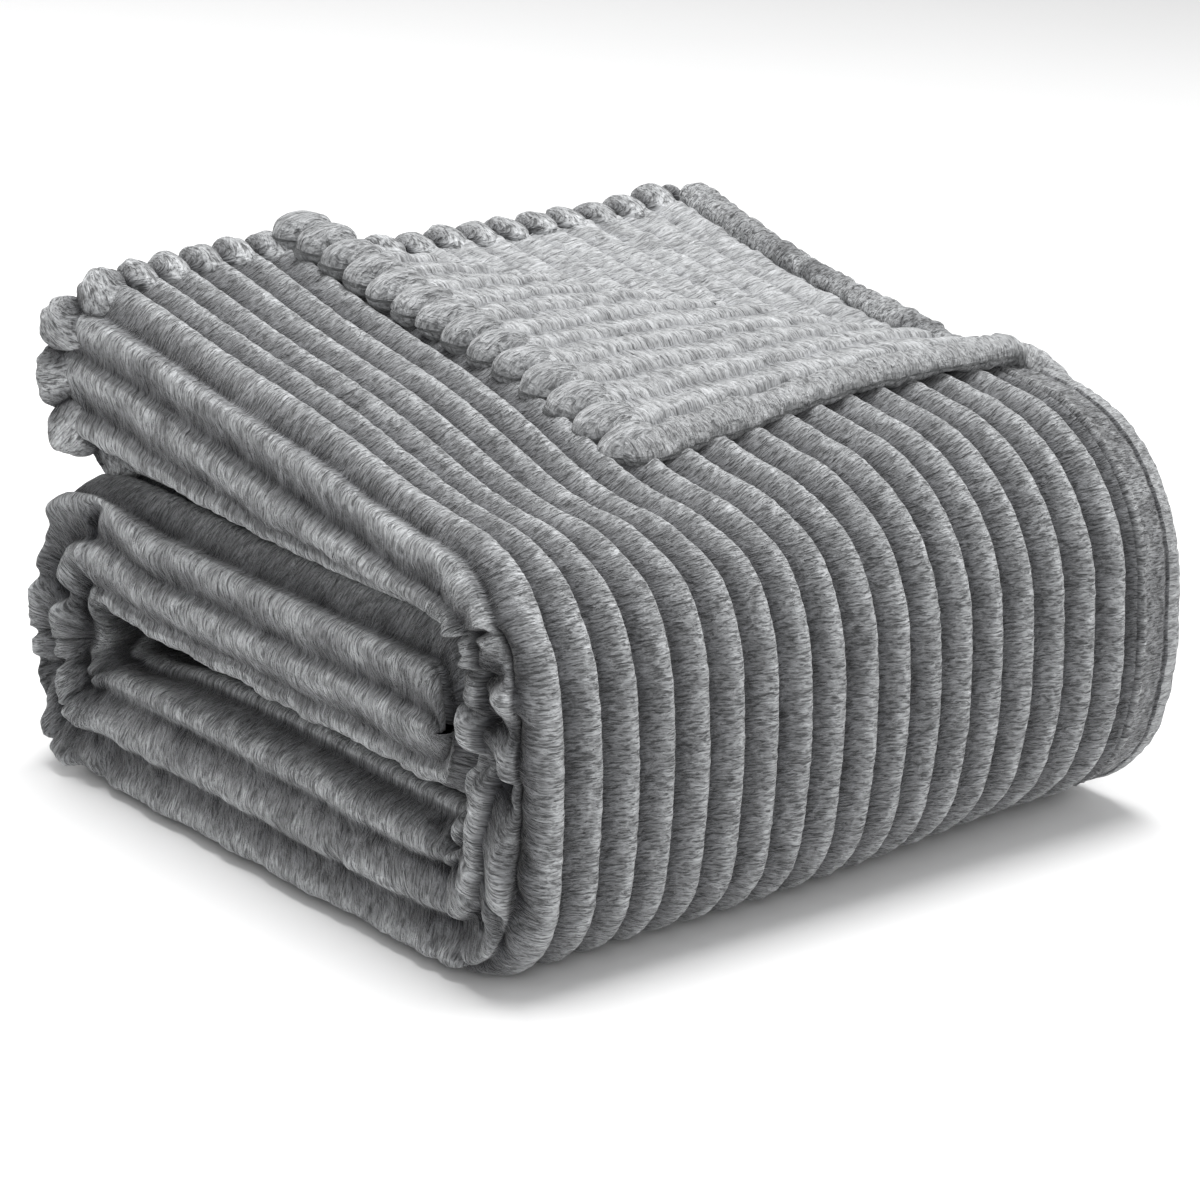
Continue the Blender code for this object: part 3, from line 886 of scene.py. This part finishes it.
def roll_piece(name, centre, out, up, reach, rise, path, crest, material, seed, fan=None):
    """A rolled edge: an oval of half-width reach (outwards) and half-height rise, carried along the centre points.

    Point = centre + out x reach x cos a + up x rise x sin a, then pushed out by tufts of pile. Both ends close.
    Fan is each point's distance along the path from the middle of its rib end: the strands spread from there.
    """
    angle = np.linspace(0, 2 * np.pi, 34, endpoint=False)[None, :, None]
    gap = np.minimum(path - path[0], path[-1] - path) / 0.006
    close = np.sqrt(np.clip(1 - (1 - np.clip(gap, 0, 1)) ** 2, 0, 1))[:, None, None]
    way = out[:, None] * np.cos(angle) * reach[:, None, None] + up[:, None] * np.sin(angle) * rise[:, None, None]
    length = np.linalg.norm(way, axis=-1, keepdims=True)
    turn = angle[..., 0] * 0.008 + 0 * path[:, None]
    line = path[:, None] + 0 * turn
    if fan is not None:
        outward = (np.cos(angle[..., 0]) + 1) / 2
        line = path[:, None] - fan[:, None] + fan[:, None] / (0.55 + 0.75 * outward)
    pile = with_waves(0, line, turn, (ROLL_TUFT, 0.0024, 0.0060, seed), (ROLL_TUFT * 0.7, 0.0060, 0.0070, seed + 1))
    points = centre[:, None] + way * close * (1 + pile[..., None] / np.maximum(length, 1e-6))
    shade = crest[:, None] + 0 * turn
    obj = grid_piece(name, points, turn, line, shade, material, ring=True)
    return merged(obj)


def end_path(around, drop, lift, low_x):
    """Centre points, outward and upward unit vectors, places across the cloth and lengths of a hem at the strip's end.

    It follows the section. Outward = (slope round the section) x (normal of the skin).
    """
    s = np.full_like(around, STRIP_END)
    place = lambda a, b: strip_points(a, b, low_x=low_x, drop=drop, lift=lift)[0]
    points, across, _ = strip_points(s, around, low_x=low_x, drop=drop, lift=lift)
    up = normals_of(place, s, around)
    ahead = place(s, around + 3e-4) - place(s, around - 3e-4)
    return points, unit(np.cross(ahead, up)), up, across, lengths(points)


class THROW_OT_end_hems(Operator):
    """Makes the rows of rounded rib ends along the back of the top, and the panel under them"""

    bl_idname = "throw.end_hems"
    bl_label = "End hems"

    def execute(self, context):
        first = HALF_WIDTH - ROLL - CORNER_X
        columns = np.concatenate([steps(first, FOLD_END, EDGE_STEP), FOLD_END + steps(0, 1, 1 / 300)[1:]])
        self.row("top_end_roll", columns, 0.0, 0.0, -HALF_WIDTH, 0.0066, 0.0090, ("top_end_hem",), 31)
        columns = steps(0.004, 0.262, EDGE_STEP)
        self.row("second_end_roll", columns, LAYER, 0.017, 0.015 - HALF_WIDTH, 0.0052, 0.0088,
                 ("second_layer_end_hem",), 33)
        self.panel()
        return {"FINISHED"}

    def row(self, name, columns, drop, lift, low_x, thin, thick, nodes, seed):
        points, out, up, across, path = end_path(columns, drop, lift, low_x)
        swell = puff(rib_phase(across))
        deep = ease((columns - 0.29) / 0.05)
        rise = (thin + (thick - thin) * deep) * (0.40 + 0.80 * swell)
        reach = 0.0030 + 0.0095 * swell
        centre = points - up * (thin + (thick - thin) * deep)[:, None] * 0.60 + out * 0.0010
        # The swell is also the crest value: painted shade between the rounded rib ends and a painted highlight on
        # their middles.
        obj = roll_piece(name, centre, out, up, reach, rise, path, swell, finish("HemPile"), seed,
                         fan=from_middle(across))
        dressed(obj, "top_lay", nodes)

    def panel(self):
        share = steps(0.13, 0.96, 0.02)[:, None]
        outer_y, outer_z, inner_y, inner_z = skins(STRIP_END)
        thick = math.hypot(inner_y - outer_y, inner_z - outer_z)
        wide = thick / 2 - 2 * ROLL
        off = np.clip((share * thick - (thick - wide)) / wide, -1, 1)
        right = HALF_WIDTH - wide + wide * np.sqrt(1 - off**2) * (off > -1) - 0.0005 + wide * (off <= -1) * 0.9
        left = 0.012 - HALF_WIDTH
        x = left + (right - left) * steps(0, 1, SHARE_STEP)[None, :]
        share, crest = share + 0 * x, rib(rib_phase(x))
        bulge = end_bulge(STRIP_END, share * thick, thick) - 0.004
        height = 0.0030 * crest + 0.0016 * np.sin(share * np.pi * 8)
        points = np.stack([x, outer_y + (inner_y - outer_y) * share + bulge + height,
                           outer_z + (inner_z - outer_z) * share], -1)
        obj = grid_piece("end_panel", points, x, share * thick, crest, finish("FacePile"))
        dressed(obj, "top_lay")


def near_fold(distance):
    """How much the cloth is pressed together beside the fold line: exp(-distance / 18 mm)."""
    return np.exp(-np.maximum(distance, 0) / 0.018)


CORNER_SHIFT = np.array([0.021, 0.011, -0.002])  # how far the corner's free tip has slid and sunk


def skewed(points, right, down):
    """The turned corner's points after its tip has slid: each moves by its share of the tip."""
    tip = np.clip((down - right) / CORNER_LEG, 0, 1)[..., None]
    return points + tip * CORNER_SHIFT


def corner_level(right, down):
    """Top of the turned corner over the top lay: its thickness, less towards the fold line."""
    thick = sizes().corner_thickness
    return thick - 0.0040 * near_fold((down - right) / math.sqrt(2))


def second_level(right, down):
    """Top of the second layer: one layer and 1.8 mm of pressed pile down, and raised towards the fold line."""
    return -LAYER - 0.0018 + 0.0022 * near_fold((right - down) / math.sqrt(2))


class THROW_OT_second_layer(Operator):
    """Makes the light reverse of the second layer and its rolled side edge"""

    bl_idname = "throw.second_layer"
    bl_label = "Second layer"

    def execute(self, context):
        down = steps(-0.002, CORNER_LEG - 0.002, 0.0012)[:, None]
        share = steps(0, 1, SHARE_STEP)[None, :]
        left, right = np.maximum(down - 0.010, -0.012), CORNER_LEG - 0.010
        across = left + (right - left) * share
        down = down + 0 * across
        height, crest = tuft_relief(down, across + CORNER_X, sizes().reverse_depth, 41)
        points = on_top(across, down, second_level(across, down) + height)
        obj = grid_piece("second_layer_cloth", points, across + CORNER_X, down, crest, finish("ReversePile"),
                         flip=True)
        dressed(obj, "top_lay", ("second_layer",))
        path = steps(0.0, CORNER_LEG - 0.016, EDGE_STEP)
        centre = on_top(CORNER_LEG - 0.0075 + 0 * path, path - 0.004, -LAYER - 0.0028 + 0 * path)
        wobble = 1 + 0.10 * waves(path, 0.0, 0.014, 1.0, 45)
        out, up = repeated(ALONG_X, path), repeated(TOP_NORMAL, path)
        roll = roll_piece("second_side_roll", centre, out, up, 0.0072 * wobble, 0.0062 * wobble, path,
                          0.75 + 0.2 * waves(path, 0.0, 0.01, 1.0, 46), finish("HemPile"), 47)
        dressed(roll, "top_lay", ("second_layer_side_hem",))
        return {"FINISHED"}


CORNER_BEND = ("top_lay", "corner",
               tuple(CORNER_POINT - TOP_NORMAL * 0.004), tuple(CORNER_POINT + TOP_NORMAL * 0.004))


class THROW_OT_corner(Operator):
    """Makes the turned corner: light reverse above, face below"""

    bl_idname = "throw.corner"
    bl_label = "Turned corner"

    def execute(self, context):
        down = steps(0.004, CORNER_LEG - 0.006, 0.0011)[:, None]
        share = steps(0, 1, SHARE_STEP)[None, :]
        right = down * share
        down = down + 0 * right
        height, crest = tuft_relief(right, down + CORNER_X, sizes().reverse_depth, 51)
        stitch = hump(down, CORNER_LEG - 0.0125, 0.0016)
        level = corner_level(right, down) + height - 0.0016 * stitch
        points = skewed(on_top(right, down, level), right, down)
        # Painted shade along the stitch groove.
        crest = np.clip(crest - 0.6 * stitch, 0, 1)
        obj = grid_piece("corner_cloth", points, down, right, crest, finish("ReversePile"), flip=True)
        dressed(obj, "corner", ("turned_corner",))
        crest = rib(rib_phase(down + CORNER_X))
        points = on_top(right, down, 0.0005 + sizes().rib_depth * 0.35 * (1 - crest))
        obj = grid_piece("corner_underside", skewed(points, right, down), down, right, crest, finish("FacePile"))
        dressed(obj, "corner")
        return {"FINISHED"}


class THROW_OT_corner_hems(Operator):
    """Makes the corner's row of rounded rib ends and its rolled side edge"""

    bl_idname = "throw.corner_hems"
    bl_label = "Corner hems"

    def execute(self, context):
        half = sizes().corner_thickness / 2
        path = steps(-0.004, CORNER_LEG, 0.0008)
        swell = puff(rib_phase(path + CORNER_X))
        reach, rise = 0.0025 + 0.0115 * swell, 0.0024 + 0.0060 * swell
        centre = skewed(on_top(0.0020 + 0 * path, path, half - 0.0006 + 0.0012 * swell), 0 * path, path)
        out, up = repeated(-ALONG_X, path), repeated(TOP_NORMAL, path)
        # The swell is also the crest value: painted shade between the rounded rib ends.
        obj = roll_piece("corner_end_roll", centre, out, up, reach, rise, path, swell, finish("ReverseHemPile"), 61,
                         fan=from_middle(path + CORNER_X))
        dressed(obj, "corner", ("corner_end_hem",))
        centre, out, path = self.side_path(half)
        wobble = 1 + 0.12 * waves(path, 0.0, 0.017, 1.0, 63)
        thin = 1 - 0.32 * ease((path - CORNER_LEG + 0.02) / 0.05)
        up = repeated(TOP_NORMAL, path)
        obj = roll_piece("corner_side_roll", centre, out, up, 0.0078 * wobble * thin, (half + 0.0014) * wobble * thin,
                         path, 0.8 + 0.2 * waves(path, 0.0, 0.01, 1.0, 65), finish("ReverseHemPile"), 66)
        start = on_top(CORNER_LEG + 0.002, CORNER_LEG + 0.008, 0.0)
        end = on_top(CORNER_LEG - 0.018, CORNER_LEG - 0.006, 0.0)
        dressed(obj, ("top_lay", "corner", tuple(start), tuple(end)), ("corner_side_hem",))
        return {"FINISHED"}

    def side_path(self, half):
        """Along the corner's side edge, round a quarter turn at its far end, and down on to the rim below."""
        bend, edge = 0.014, CORNER_LEG - 0.0045
        straight = edge - bend
        path = steps(-0.006, straight + bend * np.pi / 2 + 0.018, EDGE_STEP)
        turned = np.clip((path - straight) / bend, 0, np.pi / 2)
        right = np.minimum(path, straight) + bend * np.sin(turned)
        down = edge + bend * (1 - np.cos(turned)) + np.maximum(path - straight - bend * np.pi / 2, 0)
        down = down + 0.0015 * waves(path, 0.0, 0.03, 1.0, 64)
        level = half + 0.0008 - (half + ROLL + 0.0006) * ease((path - straight + 0.006) / 0.036)
        level = level - np.maximum(down - CORNER_LEG - 0.006, 0) ** 2 / 0.10
        centre = skewed(on_top(right, down, level), right, down)
        out = -np.cos(turned)[:, None] * UP_SLOPE - np.sin(turned)[:, None] * ALONG_X
        return centre, out, path


class THROW_OT_crease(Operator):
    """Makes the rolled fold where the corner turns over"""

    bl_idname = "throw.crease"
    bl_label = "Crease"

    def execute(self, context):
        along, angle = np.meshgrid(steps(0.004, CORNER_LEG - 0.003, EDGE_STEP), np.radians(steps(-90, 90, 4.5)),
                                   indexing="ij")
        top, bottom = corner_level(along, along), second_level(along, along) - 0.002
        line = along + (angle - np.pi / 2) * 0.006
        height, crest = tuft_relief(line, along + CORNER_X, sizes().reverse_depth, 51)
        middle, half = (top + bottom) / 2, (top - bottom) / 2
        base = on_top(along, along, middle)
        shape = FOLD_OUT * np.cos(angle)[..., None] * 0.0060 + TOP_NORMAL * (half * np.sin(angle))[..., None]
        points = base + shape + unit(shape) * height[..., None]
        obj = grid_piece("crease_roll", points, along, line, crest, finish("ReversePile"))
        dressed(obj, CORNER_BEND)
        return {"FINISHED"}


SHEETS = (  # each stretch of cloth, what it rests on, and the separate pieces on it
    ("inner_run", "bottom_run", ()),
    ("back_turn_cloth", "floor", ()),
    ("bottom_run", "floor", ()),
    ("foot_cloth", "floor", ("foot_band", "foot_rim")),
    ("front_cloth", "foot_cloth", ("front_band", "front_rim")),
    ("shoulder_cloth", "front_cloth", ("shoulder_band", "shoulder_rim")),
    ("top_face_cloth", "top_under_cloth", ("top_end_roll",)),
    ("top_under_cloth", "inner_run", ("end_panel",)),
    ("second_layer_cloth", "top_under_cloth", ("second_end_roll", "second_side_roll")),
    ("corner_cloth", "top_face_cloth", ("corner_end_roll", "corner_side_roll")),
    ("corner_underside", "top_face_cloth", ()),
    ("crease_roll", "second_layer_cloth", ()),
)
TRIANGLES = ("second_layer_cloth", "corner_cloth", "corner_underside")


class THROW_OT_sheets(Operator):
    """Works out how large each stretch of cloth lies flat; the sizes are not kept"""

    bl_idname = "throw.sheets"
    bl_label = "Sheets"

    def execute(self, context):
        for name, under, pieces in SHEETS:
            width, length, mean = FLAT[name]
            area = mean * length if mean < 0.97 * width else None
            if name in TRIANGLES:
                width, length, area = CORNER_LEG, CORNER_LEG, CORNER_LEG**2 / 2
        return {"FINISHED"}


FLOOR_LEVEL = -0.0004    # just under the cloth that lies on it
FLOOR_HALF = 4.0         # half the floor's side
CAMERA_AZIMUTH, CAMERA_ELEVATION = math.radians(-37.05), math.radians(17.7)
CAMERA_DISTANCE, CAMERA_AIM = 1.582, (0.0, -0.005, 0.09)
LIT_POINT = (0, 0, 0.1)
LAMPS = (  # name, place, size in metres, power in watts
    ("overhead", (0.10, 0.0, 1.7), 1.3, 36),
    ("front", (-1.3, -2.0, 1.1), 1.2, 15),
    ("side", (2.0, -0.8, 0.8), 0.9, 9),
    ("behind", (0.3, 2.0, 1.1), 1.4, 9),
)


class THROW_OT_stage(Operator):
    """Makes the floor, the soft lights and the camera"""

    bl_idname = "throw.stage"
    bl_label = "Stage"

    def execute(self, context):
        self.floor(context.scene.throw_colours.floor)
        for lamp in LAMPS:
            self.light(*lamp)
        self.surroundings(context.scene)
        self.camera(context.scene)
        return {"FINISHED"}

    def floor(self, colour):
        material, tree, shader = new_material("PaleFloor")
        coordinates = node(tree, "ShaderNodeTexCoord").outputs["Object"]
        field = noise_field(tree, coordinates, (3.0, 3.0), 2.0, 0.5, 0.0)
        stops = [(0.3, tuple(c * 0.99 for c in colour)), (0.7, tuple(colour))]
        tree.links.new(ramp(tree, field, stops), shader.inputs["Base Color"])
        shader.inputs["Roughness"].default_value = 0.8
        points = np.array([(x, y, 0) for x, y in ((-1, -1), (1, -1), (1, 1), (-1, 1))]) * FLOOR_HALF
        points[:, 2] = FLOOR_LEVEL
        obj = new_mesh("floor", points, np.array([[0, 1, 2, 3]]), points[:, :2], np.ones(4), material)

    def light(self, name, place, size, power):
        lamp = bpy.data.lights.new(name, "AREA")
        lamp.shape = "DISK"
        lamp.size = size
        lamp.energy = power
        obj = bpy.data.objects.new(name, lamp)
        obj.location = place
        obj.rotation_euler = (Vector(LIT_POINT) - Vector(place)).to_track_quat("-Z", "Y").to_euler()
        bpy.context.scene.collection.objects.link(obj)

    def surroundings(self, scene):
        world = bpy.data.worlds.new("Studio")
        world.use_nodes = True
        background = world.node_tree.nodes["Background"]
        background.inputs["Color"].default_value = (1.0, 1.0, 1.0, 1.0)
        background.inputs["Strength"].default_value = 0.45
        scene.world = world
        scene.view_settings.view_transform = "Standard"

    def camera(self, scene):
        level = math.cos(CAMERA_ELEVATION)
        back = Vector((math.sin(CAMERA_AZIMUTH) * level, -math.cos(CAMERA_AZIMUTH) * level,
                       math.sin(CAMERA_ELEVATION)))
        lens = bpy.data.cameras.new("Camera")
        lens.lens = 121.1
        lens.sensor_width = 36.0
        lens.shift_y = -0.0225
        lens.clip_start, lens.clip_end = 0.05, 20.0
        obj = bpy.data.objects.new("Camera", lens)
        obj.location = Vector(CAMERA_AIM) + back * CAMERA_DISTANCE
        obj.rotation_mode = "QUATERNION"
        obj.rotation_quaternion = (-back).to_track_quat("-Z", "Y")
        scene.collection.objects.link(obj)
        scene.camera = obj


class THROW_PT_panel(Panel):
    """Lists the sizes, the colours and the pieces"""

    bl_idname = "THROW_PT_panel"
    bl_label = "Folded throw"
    bl_space_type = "VIEW_3D"
    bl_region_type = "UI"
    bl_category = "Throw"

    def draw(self, context):
        layout = self.layout
        for group in (context.scene.throw_sizes, context.scene.throw_colours):
            box = layout.box()
            for name in group.__annotations__:
                box.prop(group, name)
        for operator in OPERATORS:
            layout.operator(operator.bl_idname)


OPERATORS = (THROW_OT_finishes, THROW_OT_lower_lays, THROW_OT_front, THROW_OT_top_face, THROW_OT_top_under,
             THROW_OT_end_hems, THROW_OT_second_layer, THROW_OT_corner, THROW_OT_corner_hems, THROW_OT_crease,
             THROW_OT_sheets, THROW_OT_stage)
CLASSES = (ThrowSizes, ThrowColours, *OPERATORS, THROW_PT_panel)


def register():
    for cls in CLASSES:
        bpy.utils.register_class(cls)
    bpy.types.Scene.throw_sizes = PointerProperty(type=ThrowSizes)
    bpy.types.Scene.throw_colours = PointerProperty(type=ThrowColours)


def unregister():
    del bpy.types.Scene.throw_colours
    del bpy.types.Scene.throw_sizes
    for cls in reversed(CLASSES):
        bpy.utils.unregister_class(cls)


def main():
    register()
    for operator in OPERATORS:
        group, name = operator.bl_idname.split(".")
        getattr(getattr(bpy.ops, group), name)()


if __name__ == "__main__":
    main()
